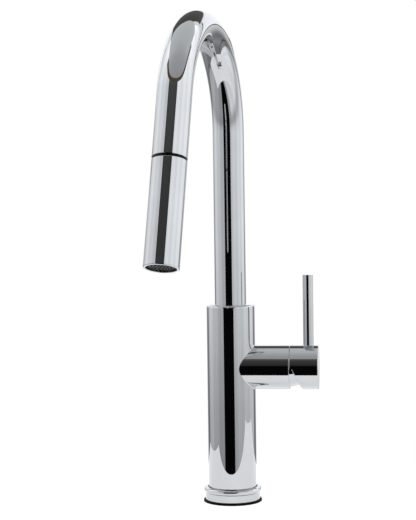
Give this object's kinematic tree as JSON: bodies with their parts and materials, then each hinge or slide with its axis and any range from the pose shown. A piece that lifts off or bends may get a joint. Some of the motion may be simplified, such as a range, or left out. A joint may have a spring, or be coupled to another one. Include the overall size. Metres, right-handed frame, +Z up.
{
  "type": "kitchen faucet",
  "caption": "Deck-mounted kitchen faucet with a swivelling gooseneck spout, a pull-down spray head on a hose and a straight pin lever on a side hub.",
  "frame": {"origin": "centre of the base gasket's underside, on the counter's top surface and on the body's axis", "axes": "+Z up along the body, +X along the handle's hub, and the spout leans towards -Y, swivelled 8.2 degrees towards -X at rest"},
  "size_m": [0.1218, 0.2476, 0.5306],
  "materials": {
    "chrome": "polished chrome plate on brass",
    "black_plastic": "black moulded plastic, fine satin grain",
    "white_plastic": "natural acetal, satin",
    "rubber": "black sealing rubber, dull",
    "silicone": "dark grey silicone, dull",
    "ceramic": "lapped white alumina",
    "brass": "machined brass",
    "steel": "zinc plated or stainless steel, turned",
    "hose_braid": "grey braided nylon over a rubber tube"
  },
  "bodies": {
    "body": {"base_gasket": "rubber", "base_ring": "chrome", "mounting_plate": "brass", "mounting_stud": "steel", "rubber_washer": "rubber", "clamp_washer": "steel", "stud_nut": "brass", "faucet_body": "chrome", "lower_bush": "white_plastic", "upper_bush": "white_plastic", "swivel_oring": "rubber", "top_collar": "chrome", "cartridge_base": "white_plastic", "base_seals": "rubber", "cartridge_shell": "white_plastic", "fixed_disc": "ceramic", "cartridge_nut": "brass", "bonnet_dome": "chrome"},
    "spout": {"spout_tube": "chrome", "snap_ring": "steel", "dock_bush": "black_plastic", "spray_hose": "hose_braid", "hose_tail": "brass"},
    "hose_end": {"hose_cone": "brass"},
    "head": {"head_shell": "chrome", "head_core": "black_plastic", "swivel_nut": "white_plastic", "hose_washer": "rubber", "inlet_screen": "steel", "flow_regulator": "white_plastic", "face_plate": "black_plastic", "nozzle_mat": "silicone", "distributor": "white_plastic"},
    "rotor": {"cartridge_rotor": "white_plastic", "pivot_pin": "steel"},
    "slider": {"moving_disc": "ceramic", "disc_carrier": "white_plastic"},
    "handle": {"cartridge_stem": "brass", "handle_cap": "chrome", "lever_pin": "chrome", "handle_set_screw": "steel", "screw_plug": "black_plastic"}
  },
  "joints": [
    {"name": "spout_swivel", "type": "hinge", "parent": "body", "child": "spout", "pos_m": [0, 0, 0.157], "axis": [0, 0, 1], "continuous": true},
    {"name": "head_pull", "type": "slide", "parent": "spout", "child": "hose_end", "axis": [-0.0429, -0.2976, -0.9537], "range_m": [0, 0.2], "stiffness_N_per_m": 15, "springref_m": -0.4},
    {"name": "head_spin", "type": "hinge", "parent": "hose_end", "child": "head", "pos_m": [-0.02621, -0.1819, 0.30029], "axis": [-0.0429, -0.2976, -0.9537], "continuous": true},
    {"name": "handle_turn", "type": "hinge", "parent": "body", "child": "rotor", "pos_m": [0.053, 0, 0.12], "axis": [1, 0, 0], "range_deg": [-45, 45]},
    {"name": "handle_lift", "type": "hinge", "parent": "rotor", "child": "handle", "pos_m": [0.053, 0, 0.12], "axis": [0, 1, 0], "range_deg": [0, 24]},
    {"name": "disc_slide", "type": "slide", "parent": "rotor", "child": "slider", "axis": [0, 0, 1], "range_m": [0, 0.00331]}
  ],
  "couplings": [
    {"joint": "disc_slide", "follows": "handle_lift", "m_per_rad": 0.007865}
  ]
}
